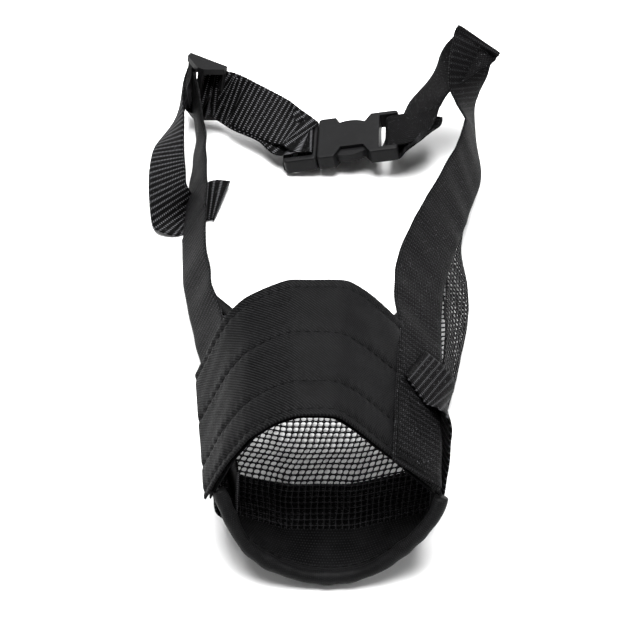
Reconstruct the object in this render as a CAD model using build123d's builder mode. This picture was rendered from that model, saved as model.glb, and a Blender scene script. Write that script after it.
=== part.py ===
from build123d import *
import os
from math import sqrt

# Soft nylon and mesh dog muzzle, millimetres.
# +X is the wearer's left seen from the front, +Y runs back along the snout to the neck, +Z is up.
# The origin is the middle of the chin strap's flat underside, where the muzzle rests.

# ---------------------------------------------------------------- driving dimensions
webbing_width = 25.0
webbing_thickness = 1.4
sewn_gap = 0.25  # clearance left between layers that are sewn together

panel_thickness = 0.9
interlining_thickness = 1.1
lining_thickness = 0.6
mesh_thickness = 0.8
front_band_thickness = 1.0
binding_radius = 2.8
throat_binding_thickness = 2.4
throat_binding_width = 4.5
thread_size = 0.5
thread_clearance = 0.05  # gap that keeps stitching a separate solid from the layer it lies on

chin_strap_half_width = webbing_width / 2
floor_half_width = 14.0  # the part of the chin that lies flat on a table
lip_corner_radius = 8.0
bag_corner_radius = 6.0

buckle_length = 58.0
buckle_width = 32.0
buckle_thickness = 8.0
buckle_yaw = -2.7
buckle_rise = 11.0
buckle_roll = 3.0
buckle_centre = Vector(11.3, 220.6, 10.5)

slider_height = 32.0
slider_length = 21.0
slider_bar = 3.4
slider_centre = Vector(-60.5, 248.0, 22.0)
slider_travel = 15.0

os.makedirs("parts", exist_ok=True)


def finish(piece, label):
    """Names a finished piece and writes it to its own file."""
    piece.part.label = label
    export_step(piece.part, f"parts/{label}.step")


# ---------------------------------------------------------------- section planes
def leaning_plane(y_at_floor, lean):
    """Cross-section plane facing the front; lean is how far it moves back per unit of height."""
    return Plane(origin=(0, y_at_floor, 0), x_dir=(1, 0, 0), z_dir=(0, -1, lean))


def on_plane(points, lean):
    """Turns points given as (x, height) into coordinates of a leaning plane."""
    stretch = sqrt(1 + lean * lean)
    return [(x, height * stretch) for x, height in points]


def inset(points, distance):
    """Mitred copy of an open outline, moved to its left by distance."""
    corners = [Vector(*point) for point in points]
    runs = [(b - a).normalized() for a, b in zip(corners, corners[1:])]
    lefts = [Vector(-run.Y, run.X) for run in runs]
    moved = []
    for index, corner in enumerate(corners):
        before = lefts[max(index - 1, 0)]
        after = lefts[min(index, len(lefts) - 1)]
        mitre = (before + after).normalized()
        moved.append(corner + mitre * (distance / mitre.dot(after)))
    return moved


def skin_section(plane, points, start, end, radius):
    """Closed section of a skin between two distances inside an open outline."""
    outside = inset(points, start)
    inside = inset(points, end)
    with BuildSketch(plane) as section:
        with BuildLine():
            outer_line = FilletPolyline(*outside, radius=radius - start)
            inner_line = FilletPolyline(*inside, radius=radius - end)
            Line(outer_line @ 0, inner_line @ 0)
            Line(outer_line @ 1, inner_line @ 1)
        make_face()
    return section.sketch


# ---------------------------------------------------------------- nose band
# The arch over the snout, as (x, height), from the right foot over the crown to the left foot.
nose_front_y = -32.5
nose_front_lean = 0.25
nose_front_arch = [(45.5, 42.0), (6.0, 78.0), (-9.5, 78.0), (-25.5, 70.0), (-44.5, 39.0)]
nose_back_y = 25.3
nose_back_lean = 0.4
nose_back_arch = [(49.5, 42.0), (11.0, 78.0), (-13.0, 78.0), (-31.0, 71.0), (-51.5, 38.0)]
arch_radius = 10.0


def arch_between(share):
    """Plane and outline of the nose band at a share of the way from its front edge to its back edge."""
    y = nose_front_y + (nose_back_y - nose_front_y) * share
    lean = nose_front_lean + (nose_back_lean - nose_front_lean) * share
    arch = []
    for front, back in zip(nose_front_arch, nose_back_arch):
        x = front[0] + (back[0] - front[0]) * share
        height = front[1] + (back[1] - front[1]) * share
        arch.append((x, height))
    return leaning_plane(y, lean), on_plane(arch, lean)


def nose_skin(start, end, front_share, back_share):
    """One layer of the nose band."""
    sections = []
    for share in (front_share, back_share):
        plane, arch = arch_between(share)
        sections.append(skin_section(plane, arch, start, end, arch_radius))
    loft(sections, ruled=True)


interlining_start = panel_thickness + sewn_gap
interlining_end = interlining_start + interlining_thickness
lining_start = interlining_end + sewn_gap
lining_end = lining_start + lining_thickness
visible_slope = 0.3  # how far the thread rows run down the slope before the sewn-on webbing covers them
hem_share = 0.04  # how far the inner layers stop short of the panel's edges

with BuildPart() as nose_band:
    nose_skin(0, panel_thickness, 0, 1)
finish(nose_band, "nose_band")

with BuildPart() as nose_band_interlining:
    nose_skin(interlining_start, interlining_end, hem_share, 1 - hem_share)
finish(nose_band_interlining, "nose_band_interlining")

with BuildPart() as nose_band_lining:
    nose_skin(lining_start, lining_end, hem_share / 2, 1 - hem_share / 2)
finish(nose_band_lining, "nose_band_lining")


def thread_rows(shares, row_width):
    """Thin raised lines of thread lying on the nose band, short of the sewn-on webbing."""
    for share in shares:
        sections = []
        for row_share in (share, share + row_width):
            plane, arch = arch_between(row_share)
            webbing_edge = (arch[1][0] + (arch[0][0] - arch[1][0]) * visible_slope,
                            arch[1][1] + (arch[0][1] - arch[1][1]) * visible_slope)
            shortened = [webbing_edge] + arch[1:]
            sections.append(skin_section(plane, shortened, -thread_size - thread_clearance, -thread_clearance,
                                         arch_radius))
        loft(sections, ruled=True)


thread_share = thread_size / (nose_back_y - nose_front_y)
with BuildPart() as nose_band_front_threads:
    thread_rows((0.045, 0.24), thread_share)
finish(nose_band_front_threads, "nose_band_front_threads")

with BuildPart() as nose_band_back_threads:
    thread_rows((0.60, 0.95), thread_share)
finish(nose_band_back_threads, "nose_band_back_threads")

# ---------------------------------------------------------------- mesh bag, front band and bindings
lip_y = -38.6
lip_lean = 0.43
lip_outline = [(-37.5, 36.0), (-33.0, 18.0), (-5.0, 5.0), (9.0, 5.0), (42.0, 24.0), (46.5, 36.0)]

# Each bag station: its Y and its outline from the left top edge, under the chin, to the right top.
bag_floor = webbing_thickness + sewn_gap
bag_stations = [
    (-chin_strap_half_width, [(-40.0, 35.0), (-38.5, 14.0), (44.0, 14.0), (45.0, 38.0)]),
    (chin_strap_half_width, [(-43.5, 32.0), (-42.5, 12.0), (48.0, 12.0), (46.5, 38.0)]),
    (35.0, [(-46.8, 18.6), (-44.5, 10.0), (53.0, 10.5), (49.5, 36.5)]),
    (55.0, [(-46.8, 17.0), (-44.0, 8.0), (59.0, 9.0), (52.5, 35.0)]),
    (110.0, [(-59.5, 8.8), (-56.0, 4.0), (71.0, 6.0), (57.0, 26.0)]),
    (180.0, [(-61.0, 7.0), (-57.5, 3.6), (73.5, 4.0), (74.0, 10.5)]),
]


def bag_outline(corners):
    """Full outline of a bag station, with the flat floor between its two lower corners."""
    left_top, left_low, right_low, right_top = corners
    flat_left = (-floor_half_width, bag_floor)
    flat_right = (floor_half_width, bag_floor)
    return [left_top, left_low, flat_left, flat_right, right_low, right_top]


def bag_skin(stations, start, end):
    """Skin of the bag through several stations."""
    sections = []
    for y, corners in stations:
        sections.append(skin_section(leaning_plane(y, 0), bag_outline(corners), start, end, bag_corner_radius))
    loft(sections, ruled=True)


# The throat edge of the bag in plan, from beyond its left side round the front to beyond its right.
throat_outline = [(-90.0, 150.0), (-58.0, 128.0), (-22.0, 90.0), (22.0, 90.0), (50.0, 125.0), (66.0, 178.0),
                  (90.0, 190.0)]
throat_radius = 20.0
mesh_clearance = 0.1  # gap between the mesh's cut edge and the end of its binding
bag_height = 60.0
behind_bag = 260.0


def behind_throat(distance):
    """Everything behind the throat edge moved back by distance, as a tall block."""
    moved = inset(throat_outline, distance)
    far_left = (moved[0].X, behind_bag)
    far_right = (moved[-1].X, behind_bag)
    with BuildPart() as block:
        with BuildSketch():
            with BuildLine():
                edge = FilletPolyline(*moved, radius=throat_radius)
                Polyline(edge @ 1, far_right, far_left, edge @ 0)
            make_face()
        extrude(amount=bag_height)
    return block.part


with BuildPart() as chin_mesh:
    bag_skin(bag_stations, 0, mesh_thickness)
    add(behind_throat(-throat_binding_width), mode=Mode.SUBTRACT)
finish(chin_mesh, "chin_mesh")

with BuildPart() as throat_binding:
    bag_skin(bag_stations, -sewn_gap, throat_binding_thickness - sewn_gap)
    add(behind_throat(0), mode=Mode.SUBTRACT)
    add(behind_throat(mesh_clearance - throat_binding_width), mode=Mode.INTERSECT)
finish(throat_binding, "throat_binding")

band_start_y = lip_y + binding_radius + sewn_gap
with BuildPart() as chin_front_band:
    lip_end = skin_section(leaning_plane(band_start_y, lip_lean), on_plane(lip_outline, lip_lean), 0,
                           front_band_thickness, lip_corner_radius)
    strap_y, strap_corners = bag_stations[0]
    strap_end = skin_section(leaning_plane(strap_y - sewn_gap, 0), bag_outline(strap_corners), 0,
                             front_band_thickness, bag_corner_radius)
    loft([lip_end, strap_end], ruled=True)
finish(chin_front_band, "chin_front_band")

with BuildPart() as lip_binding:
    with BuildLine(leaning_plane(lip_y, lip_lean)) as lip_line:
        FilletPolyline(*on_plane(lip_outline, lip_lean), radius=lip_corner_radius)
    with BuildSketch(Plane(origin=lip_line.line @ 0, z_dir=lip_line.line % 0)):
        Circle(binding_radius)
    sweep(path=lip_line.line)
finish(lip_binding, "lip_binding")

# The chin strap passes under the mesh, on the table, and up both sides.
strap_stations = [
    (-chin_strap_half_width, [(-40.0, 34.0), (-38.5, 14.0), (44.0, 14.0), (45.0, 36.0)]),
    (chin_strap_half_width, [(-43.5, 30.0), (-42.5, 12.0), (48.0, 12.0), (46.5, 36.0)]),
]
flattening = 0.1  # how much the strap's underside is pressed flat by the table
with BuildPart() as chin_strap:
    bag_skin(strap_stations, -webbing_thickness - sewn_gap - flattening, -sewn_gap)
    with Locations((0, 0, -flattening)):
        Box(4 * floor_half_width, 2 * webbing_width, 2 * flattening, mode=Mode.SUBTRACT)
finish(chin_strap, "chin_strap")


# ---------------------------------------------------------------- webbing laid along a path
def webbing_section(centre, across, along, thickness):
    """Rectangle of webbing at a point of its path."""
    direction = Vector(*along).normalized()
    sideways = Vector(*across)
    sideways = (sideways - direction * sideways.dot(direction)).normalized()
    with BuildSketch(Plane(origin=centre, x_dir=sideways, z_dir=direction)) as section:
        Rectangle(webbing_width, thickness)
    return section.sketch


def lay_webbing(stations, first_run=None, last_run=None, thickness=webbing_thickness):
    """Webbing through stations given as (centre, direction across its width)."""
    centres = [Vector(*centre) for centre, across in stations]
    sections = []
    for index, (centre, across) in enumerate(stations):
        ahead = centres[min(index + 1, len(centres) - 1)]
        behind = centres[max(index - 1, 0)]
        along = ahead - behind
        if index == 0 and first_run:
            along = Vector(*first_run)
        if index == len(centres) - 1 and last_run:
            along = Vector(*last_run)
        sections.append(webbing_section(centre, across, along, thickness))
    loft(sections, ruled=True)


# The right webbing lies on the nose band's slope, runs back along the mesh, and rises to a fold.
rising_stations = [
    ((36.7, -20.8, 51.6), (18.5, 0.0, -16.9)),
    ((40.8, 46.0, 51.7), (18.2, 0.0, -17.1)),
    ((41.3, 72.0, 48.5), (20.0, -1.0, -15.0)),
    ((44.0, 97.0, 42.5), (20.5, -2.0, -14.5)),
    ((50.0, 124.0, 35.5), (19.0, -4.0, -16.0)),
    ((64.0, 172.0, 23.5), (13.0, -7.0, -20.0)),
    ((72.5, 203.0, 18.0), (9.5, -3.0, -23.0)),
    ((73.0, 221.0, 20.0), (6.5, 16.5, -17.6)),
    ((72.0, 231.0, 30.0), (13.0, 12.0, -17.0)),
    ((74.0, 238.0, 41.0), (20.0, 8.0, -12.0)),
    ((79.0, 248.5, 52.5), (19.3, -7.0, -11.0)),
]
neck_fold = rising_stations[-1]

# ---------------------------------------------------------------- buckle frame
# The closed buckle leans on its back left corner: +x local is towards its strap bar on the right.
buckle_plane = Plane(origin=buckle_centre).rotated((-buckle_roll, -buckle_rise, buckle_yaw))
buckle_side = Plane(origin=buckle_centre, x_dir=buckle_plane.x_dir, z_dir=-buckle_plane.y_dir)
buckle_half = buckle_length / 2
mouth_x = -12.0
slot_half_width = webbing_width / 2 + 0.4
bar_half_thickness = 1.6
loop_inner_radius = 2.2
loop_outer_radius = loop_inner_radius + webbing_thickness


def buckle_point(along, across, up):
    """Point given in the buckle's own directions."""
    return buckle_plane.from_local_coords((along, across, up))


def hairpin(bend_x, bar_end_x, closed_x, closed_up):
    """Webbing looped round a bar, seen from the buckle's side, its two layers closing beyond and above the bar."""
    bend = -1 if closed_x > bend_x else 1
    layer_gap = sewn_gap / 2
    with BuildSketch(buckle_side) as section:
        with BuildLine():
            outer_top = Polyline((closed_x, closed_up + layer_gap + webbing_thickness), (bar_end_x, loop_outer_radius),
                                 (bend_x, loop_outer_radius))
            ThreePointArc(outer_top @ 1, (bend_x + bend * loop_outer_radius, 0), (bend_x, -loop_outer_radius))
            Polyline((bend_x, -loop_outer_radius), (bar_end_x, -loop_outer_radius),
                     (closed_x, closed_up - layer_gap - webbing_thickness), (closed_x, closed_up - layer_gap),
                     (bar_end_x, -loop_inner_radius), (bend_x, -loop_inner_radius))
            ThreePointArc((bend_x, -loop_inner_radius), (bend_x + bend * loop_inner_radius, 0),
                          (bend_x, loop_inner_radius))
            Polyline((bend_x, loop_inner_radius), (bar_end_x, loop_inner_radius), (closed_x, closed_up + layer_gap),
                     outer_top @ 0)
        make_face()
    return section.sketch


housing_bar_x = 25.6
housing_loop_end = 34.0
housing_loop_rise = 2.0
layer_lift = sewn_gap / 2 + webbing_thickness / 2
descending_stations = [
    neck_fold,
    ((65.0, 241.0, 34.5), (1.5, -12.0, 2.6)),
    (buckle_point(housing_loop_end - 0.5, 0, housing_loop_rise + layer_lift), -buckle_plane.y_dir),
]

with BuildPart() as right_webbing:
    lay_webbing(rising_stations)
    lay_webbing(descending_stations, last_run=-buckle_plane.x_dir)
    housing_loop = hairpin(housing_bar_x, buckle_half + 0.4, housing_loop_end, housing_loop_rise)
    extrude(housing_loop, amount=webbing_width / 2, both=True)
finish(right_webbing, "right_webbing")

# ---------------------------------------------------------------- left webbing
# The left webbing starts inside the nose band and runs back on edge to the slider.
left_side_stations = [
    ((-32.0, -18.0, 35.5), (-1.0, 0.0, -25.0)),
    ((-38.0, 15.0, 33.0), (-5.0, 0.0, -24.0)),
    ((-43.5, 50.0, 30.0), (-9.0, -4.0, -22.0)),
    ((-47.4, 73.0, 25.5), (-10.5, -4.0, -22.0)),
    ((-52.8, 97.0, 22.2), (-10.5, -2.0, -22.0)),
    ((-57.5, 124.0, 21.0), (-11.5, 0.0, -22.0)),
    ((-59.0, 150.0, 20.6), (-12.0, 0.0, -21.5)),
]
with BuildPart() as left_side_webbing:
    lay_webbing(left_side_stations)
finish(left_side_webbing, "left_side_webbing")

# The slider's own directions: along the neck webbing towards the buckle, and up its bars.
slider_run = Vector(0.905, -0.412, -0.106).normalized()
slider_up = Vector(0.25, 0.0, 0.97)
slider_up = (slider_up - slider_run * slider_up.dot(slider_run)).normalized()
slider_forward = slider_run.cross(slider_up)
slider_plane = Plane(origin=slider_centre, x_dir=slider_run, z_dir=slider_forward)


def slider_point(along, up, forward):
    """Point given in the slider's own directions; forward is towards the snout."""
    return slider_plane.from_local_coords((along, up, forward))


left_main_stations = [
    ((-59.0, 151.2, 20.6), (-12.0, 0.0, -21.5)),
    ((-59.6, 190.0, 19.8), (-9.5, 0.0, -23.0)),
    ((-60.3, 212.0, 20.2), (-6.0, 0.0, -24.0)),
    ((-62.0, 232.0, 21.0), (-3.0, 0.0, -25.0)),
    (slider_point(-4.2, 0.0, 3.4), -slider_up),
]
with BuildPart() as left_main_webbing:
    lay_webbing(left_main_stations)
finish(left_main_webbing, "left_main_webbing")

tail_stations = [
    (slider_point(-7.4, 0.0, 3.4), -slider_up),
    ((-70.8, 238.5, 22.3), (-3.0, 0.0, -25.0)),
    ((-72.8, 224.0, 23.5), (-8.0, 5.0, -23.0)),
    ((-74.8, 199.0, 22.0), (-17.5, 12.4, -14.0)),
    ((-74.4, 184.0, 18.5), (-20.4, 6.4, -15.0)),
    ((-76.6, 171.5, 4.6), (-20.0, 4.5, -11.0)),
]
tail_floor = 0.3
with BuildPart() as webbing_tail:
    lay_webbing(tail_stations, first_run=slider_forward)
    with BuildSketch(Plane.XY.offset(tail_floor)):
        with BuildLine():
            Polyline((-91.0, 174.0), (-76.3, 161.0), (-71.3, 159.3), (-65.9, 161.9), (-51.7, 172.5), (-44.9, 198.0),
                     (-50.0, 203.0), (-56.0, 200.0), (-60.0, 184.0), (-84.0, 180.0), (-91.0, 174.0))
        make_face()
    extrude(amount=webbing_thickness)
finish(webbing_tail, "webbing_tail")

plug_bar_x = -18.0
plug_bar_end = -22.0
plug_loop_end = -27.0
plug_loop_rise = 4.8
double_thickness = webbing_thickness * 2 + sewn_gap  # two layers of the same webbing lying together
straight_end = slider_travel + slider_length / 2 + 1.0
neck_stations = [
    (slider_point(-5.0, 0.0, 0.0), slider_up),
    (slider_point(straight_end, 0.0, 0.0), slider_up),
    ((-27.0, 232.5, 17.5), (6.0, 16.0, 18.0)),
    (buckle_point(plug_loop_end + 0.5, 0, plug_loop_rise), buckle_plane.y_dir),
]

with BuildPart() as left_neck_webbing:
    plug_loop = hairpin(plug_bar_x, plug_bar_end - 0.4, plug_loop_end, plug_loop_rise)
    extrude(plug_loop, amount=webbing_width / 2, both=True)
    lay_webbing(neck_stations, last_run=buckle_plane.x_dir, thickness=double_thickness)
finish(left_neck_webbing, "left_neck_webbing")

# ---------------------------------------------------------------- slider
slider_slot_half = webbing_width / 2 + 0.3
slider_inner = layer_lift * 2 + 0.35  # nearest a bar comes to the middle of the two layers
slider_end_bar_x = slider_length / 2 - slider_bar / 2


def slider_bar_section(along, forward):
    """Round-edged section of a slider bar, seen along the bar."""
    seen_along_bar = Plane(origin=slider_point(along, 0, forward), x_dir=slider_plane.x_dir, z_dir=slider_plane.y_dir)
    with BuildSketch(seen_along_bar) as section:
        RectangleRounded(slider_bar, slider_bar * 0.8, slider_bar * 0.3)
    return section.sketch


with BuildPart() as strap_slider:
    bar_middle = slider_inner + slider_bar * 0.4
    for along, forward in ((-slider_end_bar_x, -bar_middle), (slider_end_bar_x, -bar_middle), (0.0, bar_middle)):
        extrude(slider_bar_section(along, forward), amount=slider_height / 2, both=True)
    rail_height = (slider_height / 2 - slider_slot_half)
    for side in (-1, 1):
        rail_middle = side * (slider_slot_half + rail_height / 2)
        rail_plane = Plane(origin=slider_point(0, rail_middle, 0), x_dir=slider_plane.x_dir,
                           z_dir=slider_plane.y_dir)
        with BuildSketch(rail_plane):
            with BuildLine():
                back = -bar_middle - slider_bar * 0.4
                front = bar_middle + slider_bar * 0.4
                Polyline((-slider_length / 2, -back), (slider_length / 2, -back),
                         (slider_length / 2, -back - slider_bar), (slider_bar / 2, -front),
                         (-slider_bar / 2, -front), (-slider_length / 2, -back - slider_bar),
                         (-slider_length / 2, -back))
            make_face()
        extrude(amount=rail_height / 2, both=True)
finish(strap_slider, "strap_slider")

# ---------------------------------------------------------------- buckle
wall = 1.6
pocket_end = 15.5
pocket_half_width = slot_half_width
window_start = -3.0
window_end = 15.0
window_depth = 7.0
running_gap = 0.25


def bar_recess(start_x, end_x):
    """Cuts the room for webbing above and below a strap bar."""
    middle = (start_x + end_x) / 2
    for up in (bar_half_thickness, -buckle_thickness / 2):
        with BuildSketch(buckle_plane.offset(up)) as recess:
            with Locations((middle, 0)):
                Rectangle(end_x - start_x, slot_half_width * 2)
        extrude(recess.sketch, amount=buckle_thickness / 2 - bar_half_thickness, mode=Mode.SUBTRACT)


def full_height_slot(start_x, end_x):
    """Cuts a webbing slot right through."""
    with BuildSketch(buckle_plane) as slot:
        with Locations(((start_x + end_x) / 2, 0)):
            Rectangle(end_x - start_x, slot_half_width * 2)
    extrude(slot.sketch, amount=buckle_thickness, both=True, mode=Mode.SUBTRACT)


def side_window(side):
    """Outline of the notch over one latch pad, with a bevelled end each way."""
    edge = side * (buckle_width / 2 + 1.0)
    floor = side * (buckle_width / 2 - window_depth)
    with BuildSketch(buckle_plane) as window:
        with BuildLine():
            Polyline((window_start - 1.0, edge), (window_start + 3.0, floor), (window_end - 3.5, floor),
                     (window_end + 1.0, edge), (window_start - 1.0, edge))
        make_face()
    return window.sketch


with BuildPart() as buckle_housing:
    with BuildSketch(buckle_plane):
        with Locations(((mouth_x + buckle_half) / 2, 0)):
            RectangleRounded(buckle_half - mouth_x, buckle_width, 2.0)
    extrude(amount=buckle_thickness / 2, both=True)
    fillet(buckle_housing.faces().sort_by(Axis(buckle_centre, buckle_plane.z_dir))[-1].edges(), 1.0)
    fillet(buckle_housing.faces().sort_by(Axis(buckle_centre, buckle_plane.z_dir))[0].edges(), 1.0)
    with BuildSketch(buckle_plane):
        with Locations(((mouth_x - 1.0 + pocket_end) / 2, 0)):
            Rectangle(pocket_end - mouth_x + 1.0, pocket_half_width * 2)
    extrude(amount=buckle_thickness / 2 - wall, both=True, mode=Mode.SUBTRACT)
    for side in (-1, 1):
        extrude(side_window(side), amount=buckle_thickness, both=True, mode=Mode.SUBTRACT)
    full_height_slot(19.5, housing_bar_x)
    bar_recess(housing_bar_x, buckle_half + 1.0)
finish(buckle_housing, "buckle_housing")

base_end_x = mouth_x - running_gap
end_bar_x = -26.5  # the plug's low outer bar, which the webbing clears
end_bar_top = -1.6
with BuildPart() as buckle_plug:
    with BuildSketch(buckle_plane):
        with Locations(((base_end_x - buckle_half) / 2, 0)):
            RectangleRounded(base_end_x + buckle_half, buckle_width, 2.0)
    extrude(amount=buckle_thickness / 2, both=True)
    fillet(buckle_plug.faces().sort_by(Axis(buckle_centre, buckle_plane.z_dir))[-1].edges(), 1.0)
    fillet(buckle_plug.faces().sort_by(Axis(buckle_centre, buckle_plane.z_dir))[0].edges(), 1.0)
    full_height_slot(plug_bar_x, base_end_x - 1.8)
    bar_recess(plug_bar_end, plug_bar_x)
    full_height_slot(end_bar_x, plug_bar_end)
    with BuildSketch(buckle_plane.offset(end_bar_top)) as over_end_bar:
        with Locations(((end_bar_x - buckle_half - 1.0) / 2, 0)):
            Rectangle(buckle_half + end_bar_x + 1.0, slot_half_width * 2)
    extrude(over_end_bar.sketch, amount=buckle_thickness, mode=Mode.SUBTRACT)
    with BuildSketch(buckle_plane):
        with Locations(((base_end_x - 1.0 + 8.0) / 2, 0)):
            RectangleRounded(8.0 - base_end_x + 1.0, 4.4, 0.8)
    extrude(amount=buckle_thickness / 2 - wall - running_gap, both=True)
finish(buckle_plug, "buckle_plug")

arm_root_half = 1.5
arm_root_x = base_end_x + running_gap + arm_root_half
arm_root_y = 10.9
pad_surface = buckle_width / 2 - 2.6
latch_step_x = window_start + 1.6


def latch_arm(side):
    """One springy arm: a thin root, a step that catches behind the window, and a curved thumb pad."""
    with BuildPart() as arm:
        with BuildSketch(buckle_plane):
            with BuildLine():
                inner_root = (arm_root_x, side * (arm_root_y - arm_root_half))
                outer_root = (arm_root_x, side * (arm_root_y + arm_root_half))
                root = ThreePointArc(inner_root, (arm_root_x - arm_root_half, side * arm_root_y), outer_root)
                step = Polyline(outer_root, (latch_step_x, side * (arm_root_y + arm_root_half)),
                                (latch_step_x, side * pad_surface))
                pad = ThreePointArc(step @ 1, (5.0, side * (pad_surface + 0.9)), (12.5, side * (pad_surface - 2.0)))
                tip = ThreePointArc(pad @ 1, (13.6, side * (pad_surface - 3.4)), (12.5, side * (pad_surface - 4.6)))
                Line(tip @ 1, inner_root)
            make_face()
        extrude(amount=buckle_thickness / 2 - wall - running_gap, both=True)
    return arm


latch_arm_front = latch_arm(-1)
finish(latch_arm_front, "latch_arm_front")
latch_arm_rear = latch_arm(1)
finish(latch_arm_rear, "latch_arm_rear")

# ---------------------------------------------------------------- bartacks and box stitching
tack_height = 0.5


def tack_plane(centre, across, along, lift):
    """Plane lying on a webbing face at a point of its path."""
    direction = Vector(*along).normalized()
    sideways = Vector(*across)
    sideways = (sideways - direction * sideways.dot(direction)).normalized()
    normal = direction.cross(sideways)
    return Plane(origin=Vector(*centre) + normal * lift, x_dir=sideways, z_dir=normal)


right_tack_face = webbing_thickness / 2 + 0.05
right_tack_run = Vector(*rising_stations[1][0]) - Vector(*rising_stations[0][0])
with BuildPart() as right_webbing_tacks:
    for distance in (3.0, 24.0):
        centre = Vector(*rising_stations[0][0]) + right_tack_run.normalized() * distance
        plane = tack_plane(centre, rising_stations[0][1], right_tack_run, -right_tack_face)
        with BuildSketch(plane):
            Rectangle(webbing_width - 4.0, 1.8)
        extrude(amount=-tack_height)
finish(right_webbing_tacks, "right_webbing_tacks")

loop_stitch_lift = 1.3
with BuildPart() as neck_loop_stitching:
    upper_end, lower_end = Vector(*descending_stations[1][0]), descending_stations[2][0]
    loop_middle = (upper_end + lower_end) / 2
    with BuildSketch(tack_plane(loop_middle, descending_stations[2][1], lower_end - upper_end, loop_stitch_lift)):
        Rectangle(webbing_width - 6.0, 6.0)
        Rectangle(webbing_width - 7.4, 4.6, mode=Mode.SUBTRACT)
    extrude(amount=tack_height)
finish(neck_loop_stitching, "neck_loop_stitching")
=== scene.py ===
import math

import bpy
import numpy as np
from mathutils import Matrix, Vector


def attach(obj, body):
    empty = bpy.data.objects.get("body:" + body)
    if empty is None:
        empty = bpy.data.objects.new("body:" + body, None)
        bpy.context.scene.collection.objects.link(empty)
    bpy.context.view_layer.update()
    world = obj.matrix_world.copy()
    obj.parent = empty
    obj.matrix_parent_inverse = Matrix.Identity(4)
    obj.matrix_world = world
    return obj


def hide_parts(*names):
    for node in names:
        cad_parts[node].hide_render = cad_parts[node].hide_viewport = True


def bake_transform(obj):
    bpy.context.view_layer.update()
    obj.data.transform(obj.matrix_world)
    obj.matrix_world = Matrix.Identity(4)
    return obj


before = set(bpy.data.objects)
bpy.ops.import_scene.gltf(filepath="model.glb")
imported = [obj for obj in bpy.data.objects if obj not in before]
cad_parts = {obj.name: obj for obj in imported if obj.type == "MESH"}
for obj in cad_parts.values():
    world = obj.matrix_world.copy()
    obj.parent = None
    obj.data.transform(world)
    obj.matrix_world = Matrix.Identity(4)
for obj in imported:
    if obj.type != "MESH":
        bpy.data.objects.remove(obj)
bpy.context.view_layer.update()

# Lengths below are millimetres in the CAD frame; piece() turns them into metres.
MM = 0.001
webbing_width = 25.0
webbing_thickness = 1.4
rib_pitch = 2.6
rib_fade = 12.0  # length over which ribs fade in and out
scallop_depth = 0.13  # waves along the webbing's woven edges
scallop_pitch = 1.3
webbing_step = 0.5  # distance between a strap's cross sections
stitch_length = 3.1
stitch_gap = 0.7
table_clearance = 0.05
groove_depth = 0.22  # grooves between ribs, below the ribs' crowns
stitch_rise = 0.22  # a stitch's middle, above its ends
needle_sink = 0.18  # a stitch's ends, below the cloth


# ---------------------------------------------------------------- curves and grids
def unit(rows):
    """Rows scaled to length one."""
    return rows / np.maximum(np.linalg.norm(rows, axis=-1, keepdims=True), 1e-9)


def path_length(points):
    """Distance along an open curve at each of its points."""
    return np.concatenate([[0.0], np.cumsum(np.linalg.norm(np.diff(points, axis=0), axis=1))])


def between_rows(rows, knots, slopes, at):
    """Smooth values at places between rows that have given slopes."""
    index = np.clip(np.searchsorted(knots, at, side="right") - 1, 0, len(knots) - 2)
    shape = (len(at),) + (1,) * (rows.ndim - 1)
    span = (knots[index + 1] - knots[index]).reshape(shape)
    share = (at - knots[index]).reshape(shape) / span
    rest = 1 - share
    return (rows[index] * (1 + 2 * share) * rest ** 2 + slopes[index] * span * share * rest ** 2
            + rows[index + 1] * (3 - 2 * share) * share ** 2 - slopes[index + 1] * span * rest * share ** 2)


def spline(rows, step):
    """Smooth curve through rows of numbers, sampled about every step along their first three."""
    rows = np.asarray(rows, float)
    knots = path_length(rows[:, :3])
    at = np.linspace(0, knots[-1], max(int(knots[-1] / step), 2) + 1)
    return between_rows(rows, knots, np.gradient(rows, knots, axis=0), at)


def even(points, count):
    """The same open curve resampled at equal steps of its length."""
    points = np.asarray(points, float)
    run = path_length(points)
    at = np.linspace(0, run[-1], count)
    return np.stack([np.interp(at, run, points[:, axis]) for axis in range(points.shape[1])], axis=1)


def softened(points, spread):
    """Open curve blurred along its length by about spread, with its ends held."""
    step = np.linalg.norm(np.diff(points, axis=0), axis=1).mean()
    reach = int(3 * spread / step) + 1
    weights = np.exp(-0.5 * (np.arange(-reach, reach + 1) * step / spread) ** 2)
    weights /= weights.sum()
    before = 2 * points[0] - points[reach:0:-1]
    after = 2 * points[-1] - points[-2:-reach - 2:-1]
    longer = np.concatenate([before, points, after])
    columns = [np.convolve(column, weights, "valid") for column in longer.T]
    return np.stack(columns, axis=1)


def rounded(points, radius, per_corner=8, per_side=24):
    """Open outline with rounded corners; the count of points depends only on the count of corners."""
    points = np.asarray(points, float)
    runs = unit(np.diff(points, axis=0))
    starts, ends = [points[0]], []
    for corner in range(1, len(points) - 1):
        turn = math.acos(float(np.clip(runs[corner - 1] @ runs[corner], -1, 1)))
        room = min(np.linalg.norm(points[corner] - points[corner - 1]),
                   np.linalg.norm(points[corner + 1] - points[corner])) / 2
        reach = min(radius * math.tan(turn / 2), room)
        ends.append(points[corner] - runs[corner - 1] * reach)
        starts.append(points[corner] + runs[corner] * reach)
    ends.append(points[-1])
    made = []
    for side, (start, end) in enumerate(zip(starts, ends)):
        for share in np.linspace(0, 1, per_side, endpoint=False):
            made.append(start + (end - start) * share)
        if side < len(starts) - 1:
            for share in np.linspace(0, 1, per_corner, endpoint=False):
                rest = 1 - share
                corner = points[side + 1]
                made.append(end * rest ** 2 + corner * 2 * share * rest + starts[side + 1] * share ** 2)
    made.append(points[-1])
    return np.array(made)


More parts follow.
